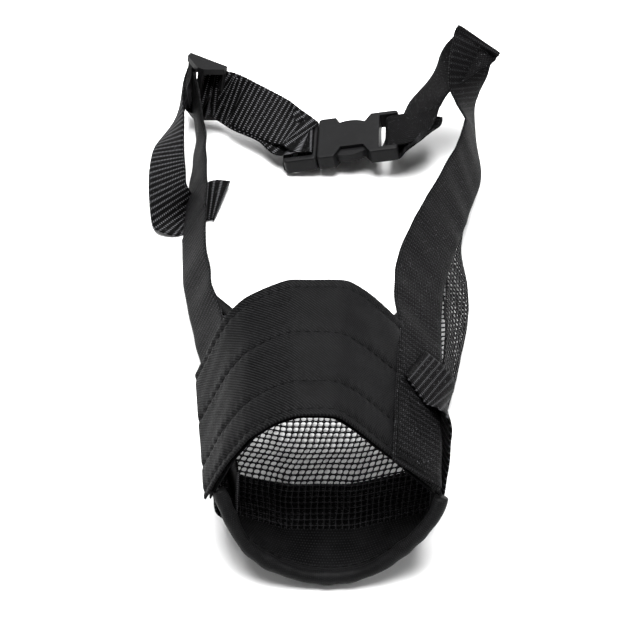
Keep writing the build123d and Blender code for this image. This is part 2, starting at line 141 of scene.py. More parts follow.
def ripple(a, b, seed, waves=5, longest=40.0, shortest=12.0):
    """Smooth made-up unevenness between about -1 and 1 over a plane, the same every run."""
    source = np.random.default_rng(seed)
    total = np.zeros(np.broadcast(a, b).shape)
    for _ in range(waves):
        turn, start = source.uniform(0, 2 * math.pi, 2)
        length = source.uniform(shortest, longest)
        total = total + np.sin((a * math.cos(turn) + b * math.sin(turn)) * 2 * math.pi / length + start)
    return total / waves ** 0.5


def grid_normals(grid):
    """Unit normals of a grid of points, on the side its rows and columns turn towards."""
    return unit(np.cross(np.gradient(grid, axis=0), np.gradient(grid, axis=1)))


def raised_normals(grid):
    """Unit normals of a grid of points, on the side that faces up at the grid's middle."""
    normals = grid_normals(grid)
    middle = normals[grid.shape[0] // 2, grid.shape[1] // 2, 2]
    return normals if middle > 0 else -normals


# ---------------------------------------------------------------- parts
# A part is its vertices, faces, cloth coordinates and the number of its material.
def skin(outer, inner, coords, bulge=0.35, slot=0, inner_coords=None):
    """Closed skin between two grids of points, with rounded edges all round."""
    rows, columns = outer.shape[:2]
    index = np.arange(rows * columns).reshape(rows, columns)
    count = rows * columns
    border = np.concatenate([index[0, :], index[1:, -1], index[-1, -2::-1], index[-2:0:-1, 0]])
    inside_rows = np.clip(np.arange(rows), 1, rows - 2)
    inside_columns = np.clip(np.arange(columns), 1, columns - 2)
    inside = index[inside_rows][:, inside_columns].ravel()[border]
    top, bottom = outer.reshape(-1, 3), inner.reshape(-1, 3)
    middle = (top + bottom) / 2
    depth = np.linalg.norm(top - bottom, axis=1, keepdims=True)
    out = unit(middle[border] - middle[inside])
    rim = middle[border] + out * depth[border] * bulge
    quads = np.stack([index[:-1, :-1], index[:-1, 1:], index[1:, 1:], index[1:, :-1]], axis=-1)
    quads = quads.reshape(-1, 4)
    after = np.roll(border, -1)
    around = 2 * count + np.arange(len(border))
    next_around = np.roll(around, -1)
    faces = np.concatenate([
        quads[:, ::-1], quads + count,
        np.stack([border, after, next_around, around], axis=-1),
        np.stack([around, next_around, after + count, border + count], axis=-1)])
    flat = coords.reshape(-1, 3)
    under = flat if inner_coords is None else inner_coords.reshape(-1, 3)
    return np.concatenate([top, bottom, rim]), faces, np.concatenate([flat, under, flat[border]]), slot


def tube(path, radius, sides=8, slot=0, flatten=1.0, up=(0.0, 0.0, 1.0)):
    """Round cord along a path; radius may change along it."""
    path = np.asarray(path, float)
    radius = np.broadcast_to(np.asarray(radius, float), (len(path),))
    run = unit(np.gradient(path, axis=0))
    guide = np.broadcast_to(np.asarray(up, float), run.shape)
    first = unit(guide - run * np.sum(guide * run, axis=1, keepdims=True))
    second = np.cross(run, first)
    turn = np.linspace(0, 2 * math.pi, sides, endpoint=False)
    rings = (path[:, None] + first[:, None] * (np.cos(turn)[None, :, None] * radius[:, None, None] * flatten)
             + second[:, None] * (np.sin(turn)[None, :, None] * radius[:, None, None]))
    count = len(path)
    index = np.arange(count * sides).reshape(count, sides)
    after = np.roll(index, -1, axis=1)
    quads = np.stack([index[:-1], after[:-1], after[1:], index[1:]], axis=-1).reshape(-1, 4)
    around = turn[None] * float(radius.max())
    coords = np.stack(np.broadcast_arrays(path_length(path)[:, None], around, 0.0), axis=-1)
    faces = list(map(tuple, quads)) + [tuple(index[0, ::-1]), tuple(index[-1])]
    return rings.reshape(-1, 3), faces, coords.reshape(-1, 3), slot


def stitches(path, normals, length=stitch_length, gap=stitch_gap, radius=0.26, slot=0, seed=0):
    """A row of sewn stitches: short cords that rise from one needle hole and sink into the next."""
    source = np.random.default_rng(seed)
    path, normals = np.asarray(path, float), np.asarray(normals, float)
    run = path_length(path)
    both = np.concatenate([path, normals], axis=1)
    made = []
    start = gap
    while start + length < run[-1]:
        long = length * source.uniform(0.9, 1.1)
        share = np.linspace(0, 1, 7)
        at = start + share * long
        rows = np.stack([np.interp(at, run, both[:, axis]) for axis in range(6)], axis=1)
        swell = np.sin(share * math.pi)
        rise = stitch_rise * np.sqrt(np.maximum(swell, 0)) - needle_sink
        cord = rows[:, :3] + rows[:, 3:] * rise[:, None]
        made.append(tube(cord, radius * (0.55 + 0.45 * swell), 6, slot, up=rows[:, 3:]))
        start += long + gap * source.uniform(0.8, 1.3)
    return made


def framed(stations, square=True):
    """Centres, across directions, normals and distance along a strap's smooth path.

    square turns each across direction at right angles to the path.
    """
    rows = spline([np.concatenate(station) for station in stations], webbing_step)
    centre = rows[:, :3]
    run = unit(np.gradient(centre, axis=0))
    across = rows[:, 3:6]
    if square:
        across = across - run * np.sum(across * run, axis=1, keepdims=True)
    across = unit(across)
    return centre, across, unit(np.cross(run, across)), path_length(centre)


def ribbon(stations, ribs=(1.0, 1.0), wander=0.3, seed=1, ribbed_run=None, flare=0.0, square=True):
    """Webbing along stations of (centre, across): ribs on both faces, worn edges, slight waviness.

    ribs holds the weight of the ribs on the outer and inner face, and ribbed_run the distances
    between which the outer face has them. flare widens the first end.
    """
    centre, across, normal, distance = framed(stations, square)
    side = np.linspace(-1, 1, 19)
    spread = webbing_width / 2 * (1 + flare * np.exp(-distance / 2.0))
    place = side[None, :] * spread[:, None]
    wave = wander * ripple(distance[:, None], place * 0.6, seed)
    scallop = scallop_depth * np.sin(2 * math.pi * distance / scallop_pitch)[:, None]
    scallop = scallop * (np.abs(side) > 0.99) * np.sign(side)
    edge = 1 - 0.45 * np.abs(side) ** 12
    rib = np.abs(np.sin(math.pi * distance / rib_pitch))[:, None] ** 0.6
    face = np.ones_like(distance)
    if ribbed_run is not None:
        start, end = ribbed_run
        face = np.clip((distance - start) / rib_fade, 0, 1) * np.clip((end - distance) / rib_fade, 0, 1)
    grids, coords = [], []
    for direction, weight in ((1, ribs[0]), (-1, ribs[1])):
        strength = face[:, None] * weight if direction == 1 else np.full_like(rib, weight)
        height = direction * edge * (webbing_thickness / 2 - groove_depth * strength * (1 - rib))
        height = height + wave
        grids.append(centre[:, None] + across[:, None] * (place + scallop)[..., None]
                     + normal[:, None] * height[..., None])
        coords.append(np.stack(np.broadcast_arrays(distance[:, None], place, strength), axis=-1))
    return skin(grids[0], grids[1], coords[0], 0.25, 0, coords[1])


def piece(name, parts, materials, body=None, stands_for=()):
    """Turns parts into one named object of the scene."""
    vertices, faces, coords, slots = [], [], [], []
    base = 0
    for part_vertices, part_faces, part_coords, slot in parts:
        vertices.append(part_vertices)
        coords.append(part_coords)
        faces.extend([tuple(int(corner) + base for corner in face) for face in part_faces])
        slots.extend([slot] * len(part_faces))
        base += len(part_vertices)
    mesh = bpy.data.meshes.new(name)
    points = np.concatenate(vertices)
    points[:, 2] = np.maximum(points[:, 2], table_clearance)
    mesh.from_pydata((points * MM).tolist(), [], faces)
    attribute = mesh.attributes.new("cloth", "FLOAT_VECTOR", "POINT")
    attribute.data.foreach_set("vector", np.concatenate(coords).astype(np.float32).ravel())
    for material in materials:
        mesh.materials.append(material)
    mesh.polygons.foreach_set("material_index", slots)
    mesh.polygons.foreach_set("use_smooth", [True] * len(mesh.polygons))
    mesh.update()
    made = bpy.data.objects.new(name, mesh)
    bpy.context.scene.collection.objects.link(made)
    if body:
        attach(made, body)
    if stands_for:
        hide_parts(*stands_for)
    return made


# ---------------------------------------------------------------- materials
class Look:
    """A procedural material, with short calls that wire its nodes."""

    def __init__(self, name, roughness, specular):
        self.material = bpy.data.materials.new(name)
        self.material.use_nodes = True
        self.tree = self.material.node_tree
        self.shader = self.tree.nodes["Principled BSDF"]
        self.shader.inputs["Roughness"].default_value = roughness
        self.shader.inputs["Specular IOR Level"].default_value = specular

    def node(self, kind, **settings):
        made = self.tree.nodes.new("ShaderNode" + kind)
        for key, value in settings.items():
            setattr(made, key, value)
        return made

    def put(self, value, socket):
        if isinstance(value, bpy.types.NodeSocket):
            self.tree.links.new(value, socket)
        else:
            socket.default_value = value

    def math(self, operation, first, second=0.0):
        made = self.node("Math", operation=operation)
        self.put(first, made.inputs[0])
        self.put(second, made.inputs[1])
        return made.outputs[0]

    def cloth(self):
        """Distance along, distance across and rib weight, in millimetres."""
        split = self.node("SeparateXYZ")
        self.put(self.node("Attribute", attribute_name="cloth").outputs["Vector"], split.inputs[0])
        return split.outputs

    def times(self, first, second):
        return self.math("MULTIPLY", first, second)

    def plus(self, first, second):
        return self.math("ADD", first, second)

    def wave(self, along, pitch):
        """Smooth rise and fall between 0 and 1."""
        swing = self.math("SINE", self.times(along, 2 * math.pi / pitch))
        return self.plus(self.times(swing, 0.5), 0.5)

    def noise(self, scale, detail):
        """Cloudy unevenness; scale is in cycles per metre."""
        made = self.node("TexNoise")
        self.put(self.node("TexCoord").outputs["Object"], made.inputs["Vector"])
        made.inputs["Scale"].default_value = scale
        made.inputs["Detail"].default_value = detail
        return made.outputs[0]

    def between(self, value, low, high, start=0.0, end=1.0):
        """Maps a value from one range to another, held at both ends."""
        made = self.node("MapRange")
        for socket, given in zip(made.inputs[:5], (value, low, high, start, end)):
            self.put(given, socket)
        return made.outputs[0]

    def mix(self, share, first, second):
        made = self.node("Mix", data_type="RGBA")
        self.put(share, made.inputs[0])
        for socket, colour in ((made.inputs[6], first), (made.inputs[7], second)):
            self.put(colour if isinstance(colour, bpy.types.NodeSocket) else (*colour, 1.0), socket)
        return made.outputs[2]

    def colour(self, socket):
        self.put(socket, self.shader.inputs["Base Color"])

    def rough(self, socket):
        self.put(socket, self.shader.inputs["Roughness"])

    def bump(self, height, distance, strength):
        """Relief from a height between 0 and 1; distance is its depth in millimetres."""
        made = self.node("Bump")
        made.inputs["Strength"].default_value = strength
        made.inputs["Distance"].default_value = distance * MM
        self.put(height, made.inputs["Height"])
        self.put(made.outputs[0], self.shader.inputs["Normal"])


def grey(level, blue=1.06):
    """Slightly cool neutral colour."""
    return level, level, level * blue


def twill_look():
    """Black polyester twill: fine diagonal ribs, with painted shine on their crowns."""
    look = Look("twill", 0.5, 0.03)
    along, across, _ = look.cloth()
    slanted = look.math("SUBTRACT", look.times(along, 0.72), look.times(across, 0.69))
    crossed = look.plus(look.times(along, 0.69), look.times(across, 0.72))
    rib = look.wave(slanted, 0.95)
    yarn = look.wave(crossed, 0.62)
    weave = look.times(rib, look.plus(look.times(yarn, 0.4), 0.6))
    cloud = look.noise(60, 3)
    fibre = look.noise(1400, 2)
    lit = look.times(weave, look.between(fibre, 0.3, 0.75, 0.5, 1.25))
    # Painted shine on the rib crowns and painted shade in the hollows between them.
    base = look.mix(look.between(lit, 0.25, 0.8), grey(0.0006), grey(0.013))
    look.colour(look.mix(look.between(cloud, 0.35, 0.7, 0.0, 0.2), base, grey(0.010)))
    look.rough(look.between(fibre, 0.3, 0.7, 0.42, 0.62))
    look.bump(weave, 0.16, 0.8)
    return look.material


def webbing_look():
    """Black nylon webbing: fine plain weave with painted sheen and glints, and painted highlights on the
    float yarns where it is ribbed.
    """
    look = Look("webbing", 0.6, 0.025)
    along, across, ribbed = look.cloth()
    rib_swing = look.math("SINE", look.times(along, math.pi / rib_pitch))
    groove = look.math("SUBTRACT", 1.0, look.math("ABSOLUTE", rib_swing))
    floats_and_highlight = look.times(look.between(groove, 0.35, 0.85), look.between(look.wave(across, 1.1), 0.4, 0.85))
    floats_and_highlight = look.times(floats_and_highlight, ribbed)
    warp_pitch = 0.8
    warp_number = look.math("FLOOR", look.math("DIVIDE", across, warp_pitch))
    warp = look.wave(across, warp_pitch)
    weft = look.wave(look.plus(along, look.times(warp_number, 0.5)), 1.1)
    plain = look.times(look.between(warp, 0.2, 0.85), look.between(weft, 0.2, 0.85, 0.2, 1.0))
    glint_specks = look.between(look.noise(900, 1), 0.62, 0.78)
    fuzz = look.noise(1800, 2)
    unribbed = look.math("SUBTRACT", 1.0, look.times(ribbed, 0.65))
    weave = look.plus(floats_and_highlight, look.times(plain, unribbed))
    weave = look.times(weave, look.between(fuzz, 0.3, 0.7, 0.6, 1.2))
    # Painted sheen on the weave's crowns and painted shade in the hollows between its yarns.
    base = look.mix(look.between(weave, 0.15, 1.0), grey(0.0008), grey(0.012))
    # Painted highlights on the float yarns in the grooves between the ribs.
    base = look.mix(floats_and_highlight, base, grey(0.10))
    # Painted glints: light specks on the crowns of the plain weave.
    look.colour(look.mix(look.times(glint_specks, look.times(plain, 0.8)), base, grey(0.09)))
    look.rough(look.between(fuzz, 0.3, 0.7, 0.5, 0.72))
    look.bump(weave, 0.22, 0.8)
    return look.material


def fine_weave_look(name, pitch, dark, light, depth, roughness=0.75, specular=0.03):
    """Small plain weave, for the front band, the lining and the bindings."""
    look = Look(name, roughness, specular)
    along, across, _ = look.cloth()
    row = look.math("FLOOR", look.math("DIVIDE", along, pitch))
    shifted = look.plus(across, look.times(row, pitch / 2))
    dots = look.times(look.wave(along, pitch), look.wave(shifted, pitch))
    fibre = look.noise(1500, 2)
    cloud = look.noise(80, 3)
    lit = look.times(dots, look.between(fibre, 0.3, 0.7, 0.4, 1.3))
    base = look.mix(look.between(lit, 0.15, 0.85), grey(dark), grey(light))
    look.colour(look.mix(look.between(cloud, 0.4, 0.7, 0.0, 0.3), base, grey(light * 0.8)))
    look.rough(look.between(fibre, 0.3, 0.7, roughness - 0.08, roughness + 0.1))
    look.bump(dots, depth, 0.8)
    return look.material


def cord_look(name, twist, knot_highlight=None):
    """Twisted yarn: stitching thread, and the mesh's knitted cords with painted highlights on the tips of
    their knots.
    """
    look = Look(name, 0.5, 0.05)
    along, across, knot = look.cloth()
    turns = look.wave(look.plus(along, look.times(across, 0.6)), twist)
    fibre = look.noise(1700, 2)
    lit = look.times(turns, look.between(fibre, 0.3, 0.7, 0.4, 1.2))
    base = look.mix(lit, grey(0.00135), grey(0.0045))
    if knot_highlight:
        # Painted highlights on the tips of the knots, which stand a little proud of the net.
        shown = look.times(look.between(knot, 0.55, 1.0), look.between(fibre, 0.35, 0.6, 0.2, 1.0))
        base = look.mix(shown, base, grey(knot_highlight))
    look.colour(base)
    look.bump(turns, 0.06, 0.7)
    return look.material


def plastic_look():
    """Moulded acetal: satin, finely textured, with slight flow marks and paler worn spots."""
    look = Look("moulded_plastic", 0.42, 0.07)
    grain = look.noise(2600, 2)
    cloud = look.noise(45, 3)
    scuff = look.between(look.noise(320, 4), 0.6, 0.75)
    base = look.mix(look.between(cloud, 0.35, 0.7), grey(0.0045), grey(0.0062))
    look.colour(look.mix(look.times(scuff, 0.25), base, grey(0.014)))
    look.rough(look.between(grain, 0.3, 0.7, 0.36, 0.52))
    look.bump(look.plus(look.times(grain, 0.7), look.times(scuff, 0.3)), 0.03, 0.6)
    return look.material


def floor_look():
    """Plain white table with the faintest unevenness."""
    look = Look("table", 0.9, 0.1)
    look.colour(look.mix(look.noise(3, 2), (0.86, 0.86, 0.86), (0.88, 0.88, 0.88)))
    return look.material


twill = twill_look()
webbing = webbing_look()
lining = fine_weave_look("lining", 0.7, 0.001, 0.009, 0.06, 0.6)
foam = fine_weave_look("foam", 0.6, 0.001, 0.003, 0.05, 0.9)
fine_weave = fine_weave_look("fine_weave", 1.15, 0.001, 0.016, 0.14)
binding = fine_weave_look("binding", 0.85, 0.0012, 0.013, 0.08, 0.55, 0.06)
thread = cord_look("thread", 0.55)
mesh_yarn = cord_look("mesh_yarn", 1.1, 0.06)
plastic = plastic_look()


def strap(name, stations, node, body=None, **shape):
    """A webbing strap shown in place of a node."""
    return piece(name, [ribbon(list(stations), **shape)], [webbing], body, [node])


# ---------------------------------------------------------------- nose band
# Each edge of the band: its place at height 0, its lean, and its outline across and up.
nose_front = (-32.5, 0.25, [(45.5, 42.0), (25.0, 61.5), (14.0, 71.5), (6.5, 77.6), (-9.5, 77.8),
                            (-18.0, 74.0), (-27.0, 67.4), (-36.5, 54.5), (-44.5, 39.0)])
nose_back = (25.3, 0.4, [(49.5, 42.0), (31.0, 62.5), (20.0, 72.0), (11.5, 77.5), (-12.5, 77.8),
                         (-22.0, 74.5), (-31.0, 70.0), (-38.5, 62.5), (-51.5, 38.0)])
arch_radius = 4.0
arch_blur = 2.2
stitched_shares = (0.045, 0.24, 0.60, 0.95)
band_length = 58.0


def arch_line(y, lean, outline, count):
    """Rounded arch on its leaning plane, evenly sampled."""
    flat = softened(even(rounded(outline, arch_radius), count), arch_blur)
    return np.stack([flat[:, 0], y + lean * flat[:, 1], flat[:, 1]], axis=1)


def arch_grid(rows, columns, first=0.0, last=1.0):
    """Grid of the nose band's outer face: rows run from its front edge to its back edge."""
    front = arch_line(*nose_front, columns)
    back = arch_line(*nose_back, columns)
    share = np.linspace(first, last, rows)[:, None, None]
    return front[None] * (1 - share) + back[None] * share


def grid_coords(grid):
    """Cloth coordinates of a grid: distance along its rows, distance across its columns."""
    along = np.linalg.norm(np.diff(grid, axis=0), axis=2).mean(axis=1)
    along = np.concatenate([[0.0], np.cumsum(along)])
    across = np.linalg.norm(np.diff(grid, axis=1), axis=2).mean(axis=0)
    across = np.concatenate([[0.0], np.cumsum(across)])
    return np.stack(np.broadcast_arrays(along[:, None], across[None], 0.0), axis=-1)


def band_relief(share, across):
    """Height of the panel above its plain surface: sunk stitch rows, padding between, soft creases."""
    place = share * band_length
    height = 0.28 * ripple(place, across, 3, 6, 60, 22)
    height = height + 0.10 * ripple(place, across, 4, 6, 14, 6)
    for row in stitched_shares:
        near = np.exp(-((place - row * band_length) / 1.1) ** 2)
        wide = np.exp(-((place - row * band_length) / 3.0) ** 2)
        height = height - 0.42 * near
        height = height + 0.12 * wide * np.sin(2 * math.pi * across / (stitch_length + stitch_gap))
    front_strip = stitched_shares[1]
    return height + 0.25 * (share < front_strip) * np.sin(np.clip(share / front_strip, 0, 1) * math.pi)


panel_rows, panel_columns = 117, 241
panel_thickness = 1.1
panel_grid = arch_grid(panel_rows, panel_columns)
panel_coords = grid_coords(panel_grid)
panel_share = np.linspace(0, 1, panel_rows)[:, None]
panel_out = raised_normals(panel_grid)
relief = band_relief(panel_share, panel_coords[..., 1])
panel_face = panel_grid + panel_out * relief[..., None]
panel_under = panel_face - panel_out * panel_thickness
piece("nose_band_panel", [skin(panel_face, panel_under, panel_coords, 0.6)], [twill], "muzzle",
      ["nose_band"])


def layer_below(depth, thickness, first, last, swell=0.0):
    """An inner layer of the nose band, following the panel from below."""
    grid = arch_grid(61, panel_columns, first, last)
    out = raised_normals(grid)
    coords = grid_coords(grid)
    uneven = swell * ripple(coords[..., 0], coords[..., 1], 9, 5, 50, 15)
    top = grid - out * (depth + uneven)[..., None]
    return skin(top, top - out * thickness, coords, 0.5)


piece("nose_band_padding", [layer_below(1.25, 1.0, 0.05, 0.95)], [foam], "muzzle", ["nose_band_interlining"])
piece("nose_band_inner_lining", [layer_below(2.6, 0.7, 0.01, 0.99, swell=0.25)], [lining], "muzzle",
      ["nose_band_lining"])


for edge, shares, seed in (("front", stitched_shares[:2], 0), ("back", stitched_shares[2:], 10)):
    sewn = []
    for number, share in enumerate(shares):
        row = int(round(share * (panel_rows - 1)))
        sewn += stitches(panel_face[row], panel_out[row], seed=seed + number)
    piece(f"nose_band_{edge}_stitches", sewn, [thread], "muzzle", [f"nose_band_{edge}_threads"])

# ---------------------------------------------------------------- mesh bag
floor_half_width = 14.0
bag_floor = 1.65
bag_corner_radius = 5.0
# Each station: its place along the snout, and the left and right sides' top and low corners.
bag_stations = [
    (-12.5, [(-40.0, 35.0), (-38.5, 14.0), (44.0, 14.0), (45.0, 38.0)]),
    (12.5, [(-43.5, 32.0), (-42.5, 12.0), (48.0, 12.0), (46.5, 38.0)]),
    (35.0, [(-46.8, 18.6), (-44.5, 10.0), (53.0, 10.5), (49.5, 37.5)]),
    (55.0, [(-46.8, 17.0), (-44.0, 8.0), (59.0, 9.0), (52.5, 36.5)]),
    (110.0, [(-59.5, 8.8), (-56.0, 4.0), (71.0, 6.0), (57.5, 29.0)]),
    (180.0, [(-61.0, 7.0), (-57.5, 3.6), (74.5, 4.0), (73.0, 11.0)]),
]
throat_line = rounded([(-90.0, 150.0), (-58.0, 128.0), (-22.0, 90.0), (22.0, 90.0), (50.0, 125.0),
                       (66.0, 178.0), (90.0, 190.0)], 20.0)


def bag_line(corners, count):
    """Rounded outline of a bag station, from its left top edge under the chin to its right top edge."""
    left_top, left_low, right_low, right_top = corners
    outline = [left_top, left_low, (-floor_half_width, bag_floor), (floor_half_width, bag_floor),
               right_low, right_top]
    return even(rounded(outline, bag_corner_radius), count)


bag_columns = 185
bag_rows = 386
station_y = np.array([y for y, _ in bag_stations])
station_lines = np.array([bag_line(corners, bag_columns) for _, corners in bag_stations])
bag_y = np.linspace(station_y[0], station_y[-1], bag_rows)
bag_lines = between_rows(station_lines, station_y, np.gradient(station_lines, station_y, axis=0), bag_y)
bag_lines[..., 1] = np.maximum(bag_lines[..., 1], bag_floor)
bag_grid = np.stack(np.broadcast_arrays(bag_lines[..., 0], bag_y[:, None], bag_lines[..., 1]), axis=-1)
bag_in = raised_normals(bag_grid)


def bag_point(row, column):
    """Point and inward normal at fractional row and column of the bag's grid."""
    row = np.clip(row, 0, bag_rows - 1 - 0.001)
    column = np.clip(column, 0, bag_columns - 1 - 0.001)
    low_row, low_column = np.floor(row).astype(int), np.floor(column).astype(int)
    row_share, column_share = (row - low_row)[..., None], (column - low_column)[..., None]
    found = []
    for source in (bag_grid, bag_in):
        near, far = (source[line, low_column] * (1 - column_share)
                     + source[line, low_column + 1] * column_share for line in (low_row, low_row + 1))
        found.append(near * (1 - row_share) + far * row_share)
    return found[0], unit(found[1])


cells_around, cells_along = 52, 67
hole_reach = 0.385  # half a hole's width, as a share of a cell
hole_side = 0.2  # half the length of a hole's straight sides
yarn_thickness = 0.6
knot_rise = 0.18
cell_drift = 0.09


def lattice():
    """The open mesh: cells with rounded holes, knots a little proud, slightly uneven spacing."""
    rows, columns = np.meshgrid(np.arange(cells_along), np.arange(cells_around), indexing="ij")
    reach, side = hole_reach, hole_side
    octagon = [(-side, -reach), (side, -reach), (reach, -side), (reach, side),
               (side, reach), (-side, reach), (-reach, side), (-reach, -side)]
    row_step, column_step = (bag_rows - 1) / cells_along, (bag_columns - 1) / cells_around

    def warped(row, column):
        moved_row, moved_column = (place + cell_drift * ripple(row * 2.5, column * 2.5, seed, 5, 30, 9)
                                   for place, seed in ((row, 21), (column, 22)))
        return bag_point(moved_row * row_step, moved_column * column_step)

    knots, knot_in = warped(*np.meshgrid(np.arange(cells_along + 1.0), np.arange(cells_around + 1.0),
                                         indexing="ij"))
    limit = np.interp(knots[..., 0], throat_line[:, 0], throat_line[:, 1]) - 2.0
    before_throat = knots[..., 1] < limit
    keep = before_throat[:-1, :-1] & before_throat[:-1, 1:]
    rows, columns = rows[keep], columns[keep]
    knot_index = np.arange(knots.shape[0] * knots.shape[1]).reshape(knots.shape[:2])
    knot_count = knot_index.size
    corner_index = [knot_index[rows, columns], knot_index[rows, columns + 1],
                    knot_index[rows + 1, columns + 1], knot_index[rows + 1, columns]]
    cell_count = len(rows)
    ring, ring_in = [], []
    for across, along in octagon:
        point, inward = warped(rows + 0.5 + along, columns + 0.5 + across)
        ring.append(point)
        ring_in.append(inward)
    ring, ring_in = np.stack(ring, axis=1), np.stack(ring_in, axis=1)
    knots, knot_in = knots.reshape(-1, 3), knot_in.reshape(-1, 3)
    upper = [knots + knot_in * (yarn_thickness + knot_rise),
             (ring + ring_in * yarn_thickness * 0.55).reshape(-1, 3)]
    lower = [knots, (ring + ring_in * 0.18).reshape(-1, 3)]
    ring_index = knot_count + np.arange(cell_count * 8).reshape(cell_count, 8)
    total = knot_count + cell_count * 8
    quads, corners, walls = [], [], []
    for side in range(4):
        first, second = corner_index[side], corner_index[(side + 1) % 4]
        left, right = ring_index[:, 2 * side], ring_index[:, 2 * side + 1]
        before = ring_index[:, 2 * side - 1]
        quads.append(np.stack([first, second, right, left], axis=-1))
        corners.append(np.stack([first, left, before], axis=-1))
    for side in range(8):
        here, after = ring_index[:, side], ring_index[:, (side + 1) % 8]
        walls.append(np.stack([here, after, after + total, here + total], axis=-1))
    quads, corners, walls = np.concatenate(quads), np.concatenate(corners), np.concatenate(walls)
    all_faces = (list(map(tuple, quads)) + list(map(tuple, corners))
                 + list(map(tuple, quads[:, ::-1] + total)) + list(map(tuple, corners[:, ::-1] + total))
                 + list(map(tuple, walls)))
    vertices = np.concatenate(upper + lower)
    used = np.zeros(len(vertices), bool)
    for face in (quads, corners, quads + total, corners + total):
        used[face.ravel()] = True
    renumber = np.cumsum(used) - 1
    is_knot = np.concatenate([np.ones(knot_count), np.zeros(cell_count * 8)] * 2)
    coords = np.stack([vertices[:, 1], vertices[:, 0], is_knot], axis=1)
    return (vertices[used], [tuple(renumber[list(face)]) for face in all_faces], coords[used], 0)


# The bag's net is attached to no body; its transform is baked into its mesh.
chin_mesh = piece("chin_mesh_net", [lattice()], [mesh_yarn], None, ["chin_mesh"])
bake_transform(chin_mesh)


def throat_tape():
    """Folded binding round the bag's rear edge."""
    front, back = station_y[0], station_y[-1]
    inside_bag = []
    for x, y in even(throat_line, 240):
        row = (min(max(y, front), back) - front) / (back - front)
        outline = bag_grid[int(row * (bag_rows - 1))]
        if outline[:, 0].min() + 1.5 < x < outline[:, 0].max() - 1.5 and y < back:
            low = outline[np.argsort(outline[:, 0])]
            inside_bag.append((x, y, float(np.interp(x, low[:, 0], low[:, 2]))))
    path = even(spline(inside_bag[::6], 1.0), 200)
    run = unit(np.gradient(path, axis=0))
    out = np.cross(run, [0.0, 0.0, 1.0])
    profile = [(-4.3, -0.3), (-2.0, -0.55), (0.0, -0.5), (0.7, 0.4), (0.0, 1.4), (-2.0, 1.55), (-4.3, 1.3)]
    top = np.stack([path - out * along + np.array([0.0, 0.0, up]) for along, up in profile], axis=1)
    normals = grid_normals(top)
    return skin(top, top - normals * 0.4, grid_coords(top), 0.3), top


tape, tape_grid = throat_tape()
tape_row = tape_grid[:, 5] * 0.5 + tape_grid[:, 6] * 0.5
tape_up = np.tile([0.0, 0.0, 1.0], (len(tape_row), 1))
throat = piece("throat_tape", [tape] + stitches(tape_row + [0, 0, 0.1], tape_up, seed=31, slot=1),
               [binding, thread], None, ["throat_binding"])
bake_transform(throat)

# ---------------------------------------------------------------- front band, lip and chin strap
lip_points = [(-38.8, -20.5, 41.0), (-35.4, -24.8, 32.6), (-32.2, -28.2, 24.9), (-27.9, -31.2, 18.2),
              (-21.5, -33.4, 13.0), (-15.0, -34.9, 9.3), (-7.0, -36.1, 6.5), (2.0, -36.6, 5.0),
              (11.0, -36.4, 5.7), (19.0, -35.4, 8.3), (26.9, -33.4, 13.1), (34.2, -30.9, 19.3),
              (40.2, -28.0, 26.0), (44.8, -25.0, 32.8), (46.6, -22.2, 38.2)]
lip_line = even(spline(lip_points, 1.0), 260)
lip_run = path_length(lip_line)
lip_radius = 2.7 + 0.22 * ripple(lip_run, 0 * lip_run, 41, 5, 22, 6)
lip_wobble = np.stack([0 * lip_run, 0.3 * ripple(lip_run, 0 * lip_run, 42, 4, 30, 9),
                       0.25 * ripple(lip_run, 0 * lip_run, 43, 4, 30, 9)], axis=1)


def front_band_grid(rows=30, columns=200):
    """Surface from the lip back to the chin strap."""
    front = even(lip_line + np.array([0.0, 1.8, -0.6]), columns)
    back_line = bag_line(bag_stations[0][1], columns)
    back = np.stack([back_line[:, 0], np.full(columns, station_y[0] + 1.0), back_line[:, 1] + 0.4], axis=1)
    share = np.linspace(0, 1, rows)[:, None, None]
    grid = front[None] * (1 - share) + back[None] * share
    slack = np.sin(share[..., 0] * math.pi)
    grid[..., 2] -= slack * 0.5 * np.clip(1 - np.abs(grid[..., 0]) / 40, 0, 1)
    coords = grid_coords(grid)
    grid[..., 2] += 0.25 * ripple(coords[..., 0], coords[..., 1], 51, 6, 30, 9) * slack
    return grid, coords


front_grid, front_coords = front_band_grid()
front_up = raised_normals(front_grid)
half_band = front_up * 0.45
piece("chin_front_band_weave", [skin(front_grid + half_band, front_grid - half_band, front_coords, 0.4)],
      [fine_weave], "muzzle", ["chin_front_band"])

# The binding is a rolled cord with a flat inner leg sewn down on the band.
leg_share = np.linspace(0, 0.62, 9)[:, None, None]
leg_rows = front_grid[0] + (front_grid[7] - front_grid[0]) * leg_share
leg_up = unit(np.repeat(front_up[3][None], len(leg_rows), axis=0))
leg_top = leg_rows + leg_up * 1.15
lip_roll = tube(lip_line + lip_wobble, lip_radius, 20, flatten=1.08)
lip_leg = skin(leg_top, leg_top - leg_up * 0.6, grid_coords(leg_rows), 0.5)
lip_sewing = stitches(leg_top[7] + leg_up[7] * 0.05, leg_up[7], seed=44, slot=1)
piece("lip_binding_roll", [lip_roll, lip_leg] + lip_sewing, [binding, thread], "muzzle",
      ["lip_binding"])

